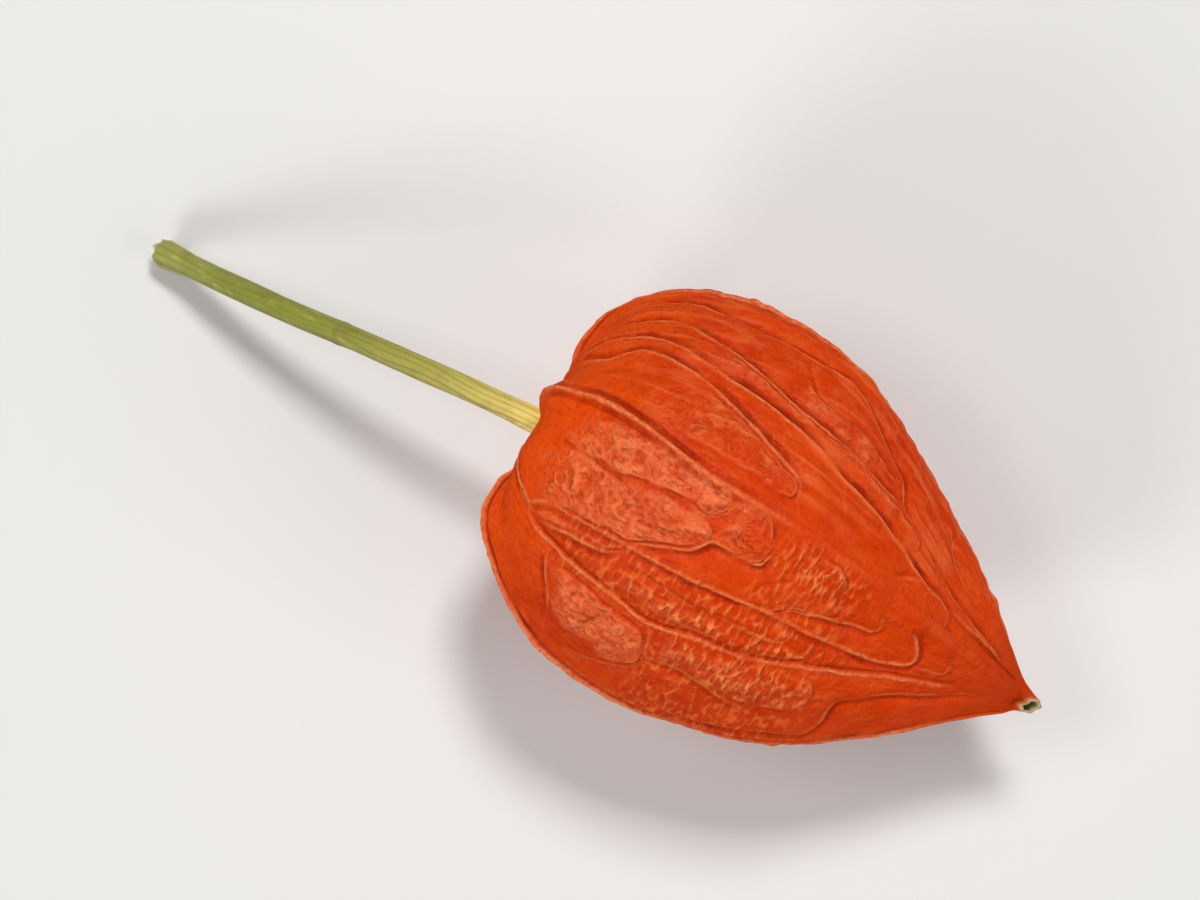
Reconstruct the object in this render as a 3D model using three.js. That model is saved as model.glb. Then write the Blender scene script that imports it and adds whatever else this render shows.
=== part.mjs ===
// Chinese lantern pod: the ripe papery husk of a Physalis fruit with its cut stem, lying on its side.
// Millimetres, +Z up, the surface it lies on at z = 0. The pod's axis runs from the stem end towards
// its tip in +X, tipped a little nose down. Angles round the axis are in degrees from straight up,
// positive towards +Y.
import * as THREE from 'three';
import { mergeVertices } from 'three/addons/utils/BufferGeometryUtils.js';

// Driving dimensions
const podLength = 56.5;        // from the shoulder round the stem to the tip
const podRadius = 21.2;        // from the axis to a ridge, at the widest place
const noseDown = 2;            // degrees that the tip is lower than the stem end
const axisHeight = 17.5;       // of the axis above the surface, under the widest place
const widestAt = 18;           // from the shoulder along the axis
const stemLength = 50;         // along the stem, from its seat to its cut end
const stemRadius = 1.22;
const stemGap = 0.3;           // between the stem and the floor of the dimple it grows from

// Mesh steps
const rounding = 0.001;        // degrees or millimetres within which two values count as one
const turnSteps = 72;
const lengthSteps = 50;
const stemTurnSteps = 12;
const stemLengthSteps = 26;

// Half the pod's long section, from the floor of the dimple over the shoulder to the tip,
// as shares of the pod's length and of its radius.
const halfSection = [
  [0.088, 0.000], [0.088, 0.060], [0.085, 0.105], [0.056, 0.170], [0.026, 0.285], [0.016, 0.430],
  [0.030, 0.610], [0.084, 0.805], [0.180, 0.945], [0.310, 1.000], [0.440, 0.958],
  [0.565, 0.825], [0.675, 0.660], [0.780, 0.475], [0.880, 0.268], [0.955, 0.108],
  [0.990, 0.045], [1.000, 0.000],
];

// The five ridges, where the husk's sepals join: their angle, their reach as a share of the radius,
// and the share that each swells or sinks beyond that on the slope down to the tip.
const ridges = [
  { angle: 10, reach: 1.000, belly: 0.02 },
  { angle: 80, reach: 1.010, belly: -0.02 },
  { angle: 150, reach: 0.980, belly: 0.03 },
  { angle: 210, reach: 0.980, belly: 0.05 },
  { angle: 280, reach: 0.945, belly: 0.11 },
];
const bellyAt = 0.68;          // of the pod's length, where that swelling is greatest
const bellySpread = 0.15;      // of the pod's length
const panelFlatness = 0.42;    // of the puffed panels between ridges at the middle: 0 round, 1 flat
const tipFlatness = 0.80;      // of the same panels at the tip
const flattenFrom = 0.45;      // of the pod's length, where the panels start to grow flatter
const flattenTo = 0.95;        // of the pod's length, where they are as flat as at the tip
const keelHeight = 1.9;        // of each ridge where it crosses the shoulder at the stem end
const keelWidth = 0.12;        // of that keel, as a share of the panel beside it
const lobeHeight = 1.0;        // of the puffed lobe of each panel at the stem end
const shoulderBand = [0.11, 0.24, 0.55, 0.88];  // shares of the radius where they rise and fade
const shoulderLean = 1.1;      // that the upper shoulder reaches past the lower one, each way
const shoulderTwist = 8;       // degrees that the ridges turn as they run over the shoulder

const smooth = (from, to, value) => THREE.MathUtils.smoothstep(value, from, to);

// Which panel an angle falls in, how far across it (0 to 1) and how wide the panel is.
function panelAt(angle) {
  const turned = THREE.MathUtils.euclideanModulo(angle - ridges[0].angle, 360) + ridges[0].angle;
  const index = ridges.findLastIndex((ridge) => ridge.angle <= turned + rounding);
  const left = ridges[index];
  const right = ridges[(index + 1) % ridges.length];
  const width = THREE.MathUtils.euclideanModulo(right.angle - left.angle, 360);
  const across = THREE.MathUtils.clamp((turned - left.angle) / width, 0, 1);
  return { left, right, width, across };
}

// Moves one point of the plain turned shape, given by its place along the axis, its distance from it
// and its angle, on to the ridged, lobed husk.
function huskPoint(along, radius, angle) {
  const { left, right, width, across } = panelAt(angle);
  const halfWidth = THREE.MathUtils.degToRad(width / 2);
  const flatPanel = Math.cos(halfWidth) / Math.cos((across * 2 - 1) * halfWidth);
  const towardsTip = smooth(flattenFrom, flattenTo, along / podLength);
  const flatness = THREE.MathUtils.lerp(panelFlatness, tipFlatness, towardsTip);
  const slope = (along / podLength - bellyAt) / bellySpread;
  const turnToRight = smooth(0, 1, across);
  const belly = THREE.MathUtils.lerp(left.belly, right.belly, turnToRight) * Math.exp(-slope * slope);
  const reach = THREE.MathUtils.lerp(left.reach, right.reach, turnToRight) + belly;
  const share = radius / podRadius;
  const towardsStem = 1 - smooth(0, widestAt, along);
  const rise = smooth(shoulderBand[0], shoulderBand[1], share);
  const fade = 1 - smooth(shoulderBand[2], shoulderBand[3], share);
  const shoulder = rise * fade * towardsStem;
  const toRidge = Math.min(across, 1 - across) / keelWidth;
  const keel = keelHeight * Math.exp(-toRidge * toRidge);
  const lobe = lobeHeight * Math.sin(Math.PI * across) ** 2;
  const turned = angle + shoulderTwist * towardsStem;
  const lean = shoulderLean * Math.cos(THREE.MathUtils.degToRad(turned));
  return {
    along: along - shoulder * (keel + lobe - lobeHeight + lean),
    radius: radius * reach * (1 + flatness * (flatPanel - 1)),
    turn: THREE.MathUtils.degToRad(turned),
  };
}

const tilt = THREE.MathUtils.degToRad(noseDown);
const axisPlace = (along, side, up) => new THREE.Vector3(
  (along - widestAt) * Math.cos(tilt) + up * Math.sin(tilt),
  side,
  axisHeight - (along - widestAt) * Math.sin(tilt) + up * Math.cos(tilt),
);

function closedGeometry(geometry) {
  geometry.deleteAttribute('normal');
  geometry.deleteAttribute('uv');
  const merged = mergeVertices(geometry, rounding);
  merged.computeVertexNormals();
  return merged;
}

// The husk: a turned shape pushed out into ridges, panels and lobes, and settled flat underneath.
function makeHusk() {
  const corners = halfSection.map(([along, out]) => new THREE.Vector2(out * podRadius, along * podLength));
  const outline = new THREE.SplineCurve(corners).getSpacedPoints(lengthSteps);
  outline.forEach((point) => point.setX(Math.max(point.x, 0)));
  outline[0].setX(0);
  outline[lengthSteps].setX(0);
  const geometry = new THREE.LatheGeometry(outline.reverse(), turnSteps);
  const position = geometry.getAttribute('position');
  for (let i = 0; i < position.count; i += 1) {
    const around = THREE.MathUtils.radToDeg(Math.atan2(position.getX(i), position.getZ(i)));
    const out = Math.hypot(position.getX(i), position.getZ(i));
    const { along, radius, turn } = huskPoint(position.getY(i), out, around);
    const place = axisPlace(along, radius * Math.sin(turn), radius * Math.cos(turn));
    position.setXYZ(i, place.x, place.y, Math.max(place.z, 0));
  }
  const husk = new THREE.Mesh(closedGeometry(geometry), new THREE.MeshStandardMaterial({
    color: 0xd0480f, roughness: 0.5, metalness: 0,
  }));
  husk.name = 'husk';
  return husk;
}

// The stem's line from its seat in the dimple to its cut end: distance along the pod's axis, sideways
// and up from the axis, as shares of the stem's length.
const stemLine = [
  [0.00, 0.000, 0.000], [-0.10, 0.000, 0.000], [-0.26, -0.014, -0.028], [-0.46, -0.036, -0.096],
  [-0.69, -0.064, -0.208], [-0.93, -0.084, -0.352],
];

// The stem's radius from its cut end (0) to its seat (1), as shares of the stem radius: a small
// swollen knot where it was cut, an even run, and a flare into the pod.
const stemSection = [
  [0.000, 0.00], [0.000, 1.05], [0.012, 1.22], [0.040, 1.15], [0.080, 1.00], [0.500, 0.98],
  [0.820, 1.00], [0.930, 1.12], [1.000, 1.42], [1.000, 0.00],
];

// The stem: a turned rod bent along its line.
function makeStem() {
  const seat = podLength * halfSection[0][0] - stemGap;
  const line = new THREE.CatmullRomCurve3(stemLine.map(([along, side, up]) => axisPlace(
    seat + along * stemLength, side * stemLength, up * stemLength,
  )));
  const side = new THREE.Vector3(0, 1, 0);
  const rings = [];
  stemSection.slice(1).forEach(([to, radius], index) => {
    const [from, before] = stemSection[index];
    const steps = Math.max(1, Math.round((to - from) * stemLengthSteps));
    for (let step = index === 0 ? 0 : 1; step <= steps; step += 1) {
      rings.push(new THREE.Vector2(
        THREE.MathUtils.lerp(before, radius, step / steps) * stemRadius,
        THREE.MathUtils.lerp(from, to, step / steps),
      ));
    }
  });
  const geometry = new THREE.LatheGeometry(rings.reverse(), stemTurnSteps);
  const position = geometry.getAttribute('position');
  for (let i = 0; i < position.count; i += 1) {
    const share = 1 - position.getY(i);
    const forward = line.getTangentAt(share).negate();
    const across = side.clone().cross(forward).normalize();
    const out = across.clone().multiplyScalar(position.getX(i));
    out.addScaledVector(forward.clone().cross(across), position.getZ(i)).add(line.getPointAt(share));
    position.setXYZ(i, out.x, out.y, out.z);
  }
  const stem = new THREE.Mesh(closedGeometry(geometry), new THREE.MeshStandardMaterial({
    color: 0x7f8a2e, roughness: 0.7, metalness: 0,
  }));
  stem.name = 'stem';
  return stem;
}

// The origin is on the surface, under the middle of the whole part.
const group = new THREE.Group();
group.add(makeHusk(), makeStem());
const box = new THREE.Box3().setFromObject(group);
group.position.set(-(box.min.x + box.max.x) / 2, -(box.min.y + box.max.y) / 2, 0);
export default group;
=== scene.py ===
import math

import bpy
import numpy as np
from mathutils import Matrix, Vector, kdtree, noise


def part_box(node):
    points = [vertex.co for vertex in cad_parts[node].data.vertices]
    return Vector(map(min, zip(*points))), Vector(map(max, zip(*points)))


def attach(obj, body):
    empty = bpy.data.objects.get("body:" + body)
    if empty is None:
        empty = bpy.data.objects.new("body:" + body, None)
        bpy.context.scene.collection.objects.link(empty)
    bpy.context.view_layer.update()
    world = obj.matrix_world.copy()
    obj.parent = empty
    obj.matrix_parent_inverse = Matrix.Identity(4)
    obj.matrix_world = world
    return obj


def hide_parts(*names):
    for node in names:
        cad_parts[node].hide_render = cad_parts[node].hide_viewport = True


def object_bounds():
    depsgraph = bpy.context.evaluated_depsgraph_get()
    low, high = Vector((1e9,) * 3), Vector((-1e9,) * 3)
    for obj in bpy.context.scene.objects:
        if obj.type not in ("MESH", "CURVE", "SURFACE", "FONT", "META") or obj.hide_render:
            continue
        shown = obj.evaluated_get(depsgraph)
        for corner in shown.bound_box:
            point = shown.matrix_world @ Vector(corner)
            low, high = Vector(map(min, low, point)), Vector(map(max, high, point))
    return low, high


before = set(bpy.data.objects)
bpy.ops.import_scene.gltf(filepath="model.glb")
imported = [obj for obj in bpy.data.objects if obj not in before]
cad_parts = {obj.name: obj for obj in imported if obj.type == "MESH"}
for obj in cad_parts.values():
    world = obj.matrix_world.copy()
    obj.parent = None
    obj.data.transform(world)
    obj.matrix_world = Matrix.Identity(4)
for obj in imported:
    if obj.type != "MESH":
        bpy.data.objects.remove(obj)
cad_low, cad_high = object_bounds()

# --- Camera, lamps and floor ---------------------------------------------------------------
# The pod is looked down on, with its tip towards the lower right. A soft key lamp stands over its
# far side, a weaker one towards the stem gives the husk its sheen, two low ones fill from the near
# side, and a plain pale floor takes the shadow.
middle = (cad_low + cad_high) / 2
camera_turn = math.radians(30)      # of the camera against the pod's long axis
camera_distance = 0.40              # metres, like all lengths in this section
view_width = 0.118                  # of what the camera sees at the middle of the pod

camera_data = bpy.data.cameras.new("camera")
camera_data.sensor_width = 36
camera_data.lens = camera_data.sensor_width * camera_distance / view_width
camera_data.clip_start = 0.01
camera = bpy.data.objects.new("camera", camera_data)
camera.location = (middle.x, middle.y, middle.z + camera_distance)
camera.rotation_euler = (0, 0, camera_turn)
bpy.context.scene.collection.objects.link(camera)
bpy.context.scene.camera = camera


def add_lamp(name, right, up, high, size, power):
    """A square soft lamp facing the pod, placed from it as the camera sees it, its power in watts."""
    lamp_data = bpy.data.lights.new(name, "AREA")
    lamp_data.size = size
    lamp_data.energy = power
    lamp = bpy.data.objects.new(name, lamp_data)
    lamp.location = middle + Vector((
        right * math.cos(camera_turn) - up * math.sin(camera_turn),
        right * math.sin(camera_turn) + up * math.cos(camera_turn),
        high,
    ))
    lamp.rotation_euler = (middle - lamp.location).to_track_quat("-Z", "Y").to_euler()
    bpy.context.scene.collection.objects.link(lamp)


add_lamp("key_lamp", right=0.08, up=0.28, high=0.50, size=0.12, power=2.4)
add_lamp("sheen_lamp", right=-0.28, up=0.08, high=0.52, size=0.18, power=0.65)
add_lamp("fill_lamp", right=-0.34, up=-0.38, high=0.30, size=0.20, power=1.6)
add_lamp("right_lamp", right=0.44, up=-0.20, high=0.30, size=0.30, power=1.0)

world = bpy.data.worlds.new("studio")
world.use_nodes = True
world_light = world.node_tree.nodes["Background"]
world_light.inputs["Color"].default_value = (1.0, 1.0, 1.0, 1)
world_light.inputs["Strength"].default_value = 0.12
bpy.context.scene.world = world
bpy.context.scene.view_settings.view_transform = "Standard"

bpy.ops.mesh.primitive_plane_add(size=4, location=(middle.x, middle.y, 0))
floor = bpy.context.object
floor.name = "floor"
floor_paint = bpy.data.materials.new("floor_paint")
floor_paint.use_nodes = True
floor_shader = floor_paint.node_tree.nodes["Principled BSDF"]
floor_shader.inputs["Base Color"].default_value = (0.68, 0.67, 0.655, 1)
floor_shader.inputs["Roughness"].default_value = 0.85
floor.data.materials.append(floor_paint)

# --- Husk ----------------------------------------------------------------------------------
# Five sepals grown together into one closed papery lantern round the fruit. Their joins stand out
# as ridges, veins run from the stem to the tip, and the skin between them puffs and puckers.
mm = 0.001
pod_length = 56.5                   # shoulder to tip; millimetres from here on, except in the meshes
pod_radius = 21.2                   # from the pod's axis to a ridge, at the widest place
nose_down = math.radians(2)         # that the tip is lower than the stem end
axis_height = 17.5                  # of the axis above the surface, under the widest place
widest_at = 18                      # from the shoulder along the axis
half_section = [
    (0.088, 0.000), (0.088, 0.060), (0.085, 0.105), (0.056, 0.170), (0.026, 0.285), (0.016, 0.430),
    (0.030, 0.610), (0.084, 0.805), (0.180, 0.945), (0.310, 1.000), (0.440, 0.958), (0.565, 0.825),
    (0.675, 0.660), (0.780, 0.475), (0.880, 0.268), (0.955, 0.108), (0.984, 0.060), (1.000, 0.046),
    (0.998, 0.035), (0.984, 0.031), (0.972, 0.000),
]                                   # shares of the length and the radius, from the dimple's floor
ridge_angles = np.array([10, 80, 150, 210, 280])      # degrees from straight up, towards +Y
ridge_reach = np.array([1.000, 1.010, 0.980, 0.980, 0.945])   # shares of the radius
ridge_belly = np.array([0.02, -0.02, 0.03, 0.05, 0.11])       # added to them on the slope to the tip
belly_at, belly_spread = 0.68, 0.15                   # of the length, where that is greatest
panel_flatness, tip_flatness = 0.42, 0.80             # of the panels between ridges: 0 round, 1 flat
flatten_from, flatten_to = 0.45, 0.95                 # of the length, where they grow flatter
keel_height, keel_width = 1.9, 0.12                   # of each ridge over the shoulder
lobe_height = 1.0                                     # of each panel's puffed lobe beside it
shoulder_band = (0.11, 0.24, 0.55, 0.88)              # shares of the radius: both rise, both fade
shoulder_lean, shoulder_twist = 1.1, 8                # upper shoulder further out; ridges turned


def smooth(start, end, value):
    """0 at start, 1 at end and an even S between. Start may be the greater."""
    share = np.clip((value - start) / (end - start), 0, 1)
    return share * share * (3 - 2 * share)


def through(points, steps):
    """A smooth line through the points, with that many steps between each two."""
    p = np.asarray(points, float)
    t = np.linspace(0, 1, steps, endpoint=False)[:, None]
    spans = []
    for k in range(len(p) - 1):
        start, end = p[k], p[k + 1]
        leave = (end - p[max(k - 1, 0)]) / 2
        arrive = (p[min(k + 2, len(p) - 1)] - start) / 2
        curve = (2 * start - 2 * end + leave + arrive) * t ** 3
        spans.append(curve + (3 * end - 3 * start - 2 * leave - arrive) * t ** 2 + leave * t + start)
    return np.vstack(spans + [p[-1:]])


section_steps = 60
mouth_corners = 3                   # of the half section, inside the mouth at the tip
section = through(half_section, section_steps) * (pod_length, pod_radius)
section[:, 1] = np.maximum(section[:, 1], 0)
section_way = np.concatenate([[0], np.cumsum(np.hypot(*np.diff(section, axis=0).T))])
husk_way = section_way[-1]          # along the skin, from the dimple's floor to the mouth's
mouth_way = section_way[-1 - mouth_corners * section_steps]


def husk_surface(way, angle):
    """The plain husk's point at a way from the dimple's floor and an angle in degrees."""
    rounding = 1e-6
    along = np.interp(way, section_way, section[:, 0])
    out = np.interp(way, section_way, section[:, 1])
    turned = np.mod(angle - ridge_angles[0], 360) + ridge_angles[0]
    left = np.searchsorted(ridge_angles, turned + rounding, side="right") - 1
    right = (left + 1) % len(ridge_angles)
    width = np.mod(ridge_angles[right] - ridge_angles[left], 360)
    across = np.clip((turned - ridge_angles[left]) / width, 0, 1)
    half_width = np.radians(width / 2)
    flat_panel = np.cos(half_width) / np.cos((across * 2 - 1) * half_width)
    towards_tip = smooth(flatten_from, flatten_to, along / pod_length)
    flatness = panel_flatness + (tip_flatness - panel_flatness) * towards_tip
    share = smooth(0, 1, across)
    slope = (along / pod_length - belly_at) / belly_spread
    belly = (ridge_belly[left] + (ridge_belly[right] - ridge_belly[left]) * share) * np.exp(-slope ** 2)
    reach = ridge_reach[left] + (ridge_reach[right] - ridge_reach[left]) * share + belly
    towards_stem = 1 - smooth(0, widest_at, along)
    rise = smooth(shoulder_band[0], shoulder_band[1], out / pod_radius)
    fade = 1 - smooth(shoulder_band[2], shoulder_band[3], out / pod_radius)
    shoulder = rise * fade * towards_stem
    to_ridge = np.minimum(across, 1 - across) / keel_width
    keel = keel_height * np.exp(-to_ridge ** 2)
    lobe = lobe_height * np.sin(np.pi * across) ** 2
    around = np.radians(angle + shoulder_twist * towards_stem)
    lean = shoulder_lean * np.cos(around)
    along = along - shoulder * (keel + lobe - lobe_height + lean)
    out = out * reach * (1 + flatness * (flat_panel - 1))
    side, up = out * np.sin(around), out * np.cos(around)
    x = (along - widest_at) * math.cos(nose_down) + up * math.sin(nose_down)
    z = axis_height - (along - widest_at) * math.sin(nose_down) + up * math.cos(nose_down)
    return np.stack([x, side, z], axis=-1)


stretch_ends = (0, 15, 68, mouth_way, husk_way)       # of the skin's way; the second is meshed finest
stretch_points = (29, 144, 35, 10)
ways = np.concatenate([np.linspace(start, end, count)[1:] for start, end, count in zip(
    stretch_ends, stretch_ends[1:], stretch_points)])[:-1]
upper_edge = 100                    # degrees to either side of straight up, with the finer mesh
upper_steps, lower_steps = 301, 155
angles = np.concatenate([
    np.linspace(-upper_edge, upper_edge, upper_steps, endpoint=False),
    np.linspace(upper_edge, 360 - upper_edge, lower_steps, endpoint=False),
])
way_grid, angle_grid = np.meshgrid(ways, angles, indexing="ij")
plain = husk_surface(way_grid, angle_grid)
out_grid = np.interp(way_grid, section_way, section[:, 1])
along_grid = np.interp(way_grid, section_way, section[:, 0])
run_around = np.roll(plain, -1, axis=1) - np.roll(plain, 1, axis=1)
outward = np.cross(np.gradient(plain, axis=0), run_around)
outward /= np.linalg.norm(outward, axis=-1, keepdims=True)

# Veins of the two upper panels as they lie from above: strength, the side where the skin dips (1 for
# +Y), then points along the pod from its shoulder and across it. Those in stem_veins spring from the
# stem, the others from another vein.
stem_veins = [
    (1.0, -1, [(3.4, -7.0), (5, -6.1), (8, -6.0), (14, -5.9), (20, -5.7), (26, -5.1), (33, -4.5),
        (39, -3.9), (41.4, -3.2), (43.0, -2.3), (43.2, -1.2), (42.4, -0.1), (41.2, 0.9)]),
    (0.7, -1, [(3.6, -7.3), (5, -7.9), (8, -7.7), (11.3, -7.5), (12.8, -6.9), (14.2, -6.0)]),
    (1.0, 1, [(3.4, -7.4), (5, -8.6), (9, -9.8), (12, -10.3), (15, -10.8), (19, -11.2), (23, -10.5),
        (27, -9.9), (30, -9.2), (34, -7.6), (38, -6.2), (42, -4.4), (45, -3.2), (49, -1.9)]),
    (0.9, 1, [(3, 8.6), (6, 11.0), (11, 11.5), (14, 11.0), (18, 9.8), (22, 8.5), (24.4, 7.4),
        (24.8, 6.0)]),
    (1.0, 1, [(2.8, 10.6), (7, 12.9), (14.5, 12.7), (20, 12.1), (25, 10.9), (29, 9.6), (33, 8.4),
        (37, 6.6), (40.2, 5.0), (42.5, 4.5), (43.7, 3.8), (44.0, 2.8), (43.8, 1.7)]),
    (0.9, 1, [(3, 12.4), (7, 15.0), (13, 15.2), (18, 14.3), (21, 13.5), (27, 12.5), (31, 11.5),
        (35, 10.0)]),
]
side_veins = [
    (0.9, -1, [(13, -5.8), (15, -4.8), (17, -4.1), (18.6, -3.4), (19.7, -2.3), (20.3, -1.5),
        (22.5, -1.5), (25, -1.3), (25.5, -0.4), (25.7, 0.9)]),
    (0.5, -1, [(15.5, 0.6), (18.2, 0.3), (19.6, 1.2), (20.6, 2.9), (21.4, 3.8)]),
    (0.8, -1, [(28.6, -4.9), (30, -3.6), (32, -2.9), (34, -2.3), (36, -1.8), (37.8, -1.5), (38.6, -0.9),
        (38.3, 0.1), (37.8, 1.0)]),
    (0.4, -1, [(34.6, -2.0), (34.2, -1.0), (33.6, 0.2), (33.3, 1.3)]),
    (0.5, -1, [(26.8, -2.4), (26.3, -3.6), (25.6, -5.0)]),
    (0.5, -1, [(42.9, -2.4), (44.8, -2.0), (46.3, -1.6), (46.7, -0.8), (46.0, 0.2)]),
    (0.5, -1, [(3.4, -1.3), (5, -0.85), (7, -0.8), (9, -1.1), (11, -1.7), (12.2, -2.4), (13.5, -2.9)]),
    (0.4, -1, [(12.2, -3.2), (14, -3.5), (16.5, -3.0)]),
    (0.5, -1, [(14, -7.5), (17, -7.6), (20, -7.8), (23, -7.9), (25, -7.5), (30, -7.0), (31.2, -6.2),
        (31, -5.0)]),
    (0.7, -1, [(7.2, -9.4), (7.6, -11), (8.4, -12.4), (9.3, -13.7), (10.0, -15.0), (10.4, -16.6)]),
    (0.7, -1, [(15.4, -11.0), (15.1, -12.4), (14.6, -13.5), (14.0, -14.4), (13.0, -14.8)]),
    (0.6, -1, [(19, -11.2), (19.8, -12.6), (20.4, -14.3), (22.5, -13.8), (25, -13.7), (29.5, -14.2),
        (31.8, -13.6)]),
    (0.4, -1, [(20.4, -14.3), (19.8, -15.8), (18.2, -16.6), (15, -17.6), (12, -17.4)]),
    (0.5, -1, [(46.6, -4.9), (48, -3.2), (50, -2.1), (52.5, -1.1), (55, -0.3)]),
    (0.5, -1, [(40.2, 5.0), (38.4, 4.7), (36.5, 3.5)]),
    (0.5, -1, [(19.8, 18.3), (21.3, 16.9), (22.7, 15.6), (24.7, 15.1), (27, 14.2)]),
    (0.4, -1, [(41.2, 11.0), (41.5, 9.6), (42.5, 8.3), (44, 7.2), (47, 5.4)]),
    (0.9, -1, [(43.5, 4.2), (45, 3.9), (47, 3.45), (49, 2.9), (51, 2.3), (53, 1.8), (54.8, 1.4)]),
]
# Blisters: small fields between the veins that stand up with a finely crumpled top, where a sheen
# is painted.
upper_blisters = [
    [(3.6, -0.1), (3.8, 1.6), (4.6, 3.0), (7.5, 3.8), (12, 4.0), (16, 3.8), (19.2, 3.4), (20.0, 2.5),
     (19.9, 1.4), (18.4, 0.5), (16, 0.8), (13, 0.5), (10, -0.2), (7.5, -0.2)],
    [(1.6, -1.8), (3.5, -0.8), (7, -0.6), (10, -0.9), (11.2, -0.4), (14, 0.1), (18, 0.1), (19.6, -0.6),
     (19.8, -1.8), (18.5, -3.0), (16.5, -3.9), (14.5, -4.7), (12.5, -5.4), (8, -5.7), (4.2, -5.8),
     (2.2, -4.6), (1.4, -3.0)],
    [(3.5, -7.2), (4.2, -6.6), (5.5, -6.5), (9, -6.5), (12.3, -6.4), (13.2, -6.3), (12.2, -6.9),
     (11, -7.3), (8, -7.4), (5, -7.6), (4, -7.7)],
    [(8.2, -11.2), (10, -10.9), (13, -11.3), (15, -11.7), (18, -12.0), (19.3, -12.7), (20.0, -14.2),
     (19.5, -15.6), (17.5, -16.2), (14, -15.6), (11.5, -15.4), (10.4, -14.4), (9.2, -12.6)],
    [(20.6, 3.4), (22.5, 3.4), (24.2, 3.0), (25.2, 1.4), (25.3, -0.6), (24.8, -1.2), (22.5, -1.4),
     (20.6, -1.4), (20.2, -0.4), (20.4, 1.2), (20.3, 2.4)],
    [(26.6, 1.8), (29, 2.2), (31.5, 2.4), (33.2, 1.6), (33.9, 0), (34.2, -1.5), (32.5, -2.6),
     (30, -3.4), (28.5, -4.4), (27.2, -3.6), (26.4, -2.0), (26.2, 0)],
    [(10.5, 8.6), (13, 10.2), (16, 10.0), (19, 9.1), (22, 8.1), (24.2, 7.2), (24.5, 6.2), (23.8, 5.5),
     (20, 5.7), (15, 5.8), (11, 5.9), (9.6, 6.9)],
    [(12, 14.4), (14, 13.5), (18, 13.1), (24, 11.9), (30, 10.2), (34, 8.9), (37.6, 7.2), (37.0, 8.7),
     (33, 10.7), (27, 12.3), (21, 13.3), (17, 14.2), (13, 14.9)],
    [(20.5, 16.5), (22.5, 15.4), (26, 14.6), (29, 13.9), (31.5, 12.9), (31, 12.0), (27, 12.9),
     (23, 13.7), (20.5, 14.3)],
    [(20, -8.6), (24, -8.2), (28, -7.7), (31, -6.7), (34, -6.4), (33, -7.3), (30, -8.5), (26, -9.4),
     (21, -9.9), (16, -9.6), (15, -8.6)],
    [(21.5, -11.6), (25, -10.7), (29, -9.8), (33, -8.6), (35.5, -8.4), (36, -10.5), (33.5, -12.4),
     (29.5, -13.5), (24, -13.2), (21.2, -13.2)],
]
# Folds, where the skin past the vein lies lower: strength, the side that is lower, points.
upper_folds = [
    (0.9, 1, [(4, 15.6), (7.5, 17.4), (10, 18.0), (15, 18.4), (20, 18.5), (24, 18.4), (26, 17.8),
        (29, 15.9), (32, 13.8), (33.7, 12.7), (34.4, 11.4), (35.3, 10.2), (38.5, 8.1), (42, 6.3),
        (46, 4.4), (50, 2.8), (53, 1.7)]),
    (0.9, -1, [(24, -18.4), (28, -17.4), (33, -15.6), (37, -13.8), (38, -12.8), (38.5, -11.4),
        (38.4, -10), (38.7, -9), (40, -7.9), (42, -6.5), (44, -5.2), (46, -4.2), (49, -2.6)]),
]
ridge_strengths = (1.0, 0.9, 0.8, 0.8, 1.3)
wide_panel, right_panel = (280, 370), (370, 440)      # degrees, from ridge to ridge
wide_root, right_root = 328, 394                      # where each panel's veins leave the stem
vein_copies = [                                       # from panel, to panel, seed of the warp
    (wide_panel, (150, 80), 1.0), (right_panel, (150, 210), 2.0), (wide_panel, (210, 280), 3.0),
]
first_angle = 190                   # degrees; the angles of veins run up from it, past 360
first_way, way_step = 0.8, 0.4      # along the skin, where veins start round the stem, and their pace
least_rise, past_shoulder = 0.12, 12                  # of the skin that faces up, clear of the dimple

above = kdtree.KDTree(way_grid.size)
for number in np.flatnonzero((outward[..., 2] > least_rise) & (way_grid > past_shoulder)).tolist():
    x, y, z = plain.reshape(-1, 3)[number].tolist()
    above.insert((x, y, 0), number)
above.balance()


def on_husk(points):
    """The ways and angles, on the upper side, of a line given as it lies from above."""
    nudge, least_area, rounds = 0.001, 0.02, 3
    longest_step, widest_turn = 0.3, 0.7
    seen = through(points, 10) - (widest_at, 0)
    start = [above.find((x, y, 0))[1] for x, y in seen.tolist()]
    way, angle = way_grid.ravel()[start], angle_grid.ravel()[start]
    for _ in range(rounds):
        here = husk_surface(way, angle)[:, :2]
        by_way = (husk_surface(way + nudge, angle)[:, :2] - here) / nudge
        by_angle = (husk_surface(way, angle + nudge)[:, :2] - here) / nudge
        miss = seen - here
        area = by_way[:, 0] * by_angle[:, 1] - by_way[:, 1] * by_angle[:, 0]
        area = np.where(np.abs(area) < least_area, least_area, area)
        step = (miss[:, 0] * by_angle[:, 1] - miss[:, 1] * by_angle[:, 0]) / area
        turn = (by_way[:, 0] * miss[:, 1] - by_way[:, 1] * miss[:, 0]) / area
        way = way + np.clip(step, -longest_step, longest_step)
        angle = angle + np.clip(turn, -widest_turn, widest_turn)
    return np.clip(way, 0, husk_way), np.mod(angle - first_angle, 360) + first_angle


def from_stem(way, angle, root):
    """The same line led back over the shoulder to the stem, at the panel's root angle."""
    turn_from = 0.55                # of the way back, below which it runs straight to the stem
    back = np.arange(first_way, way[0] - way_step / 2, way_step)
    turn = smooth(turn_from, 1, back / way[0])
    return np.concatenate([back, way]), np.concatenate([root + (angle[0] - root) * turn, angle])


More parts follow.
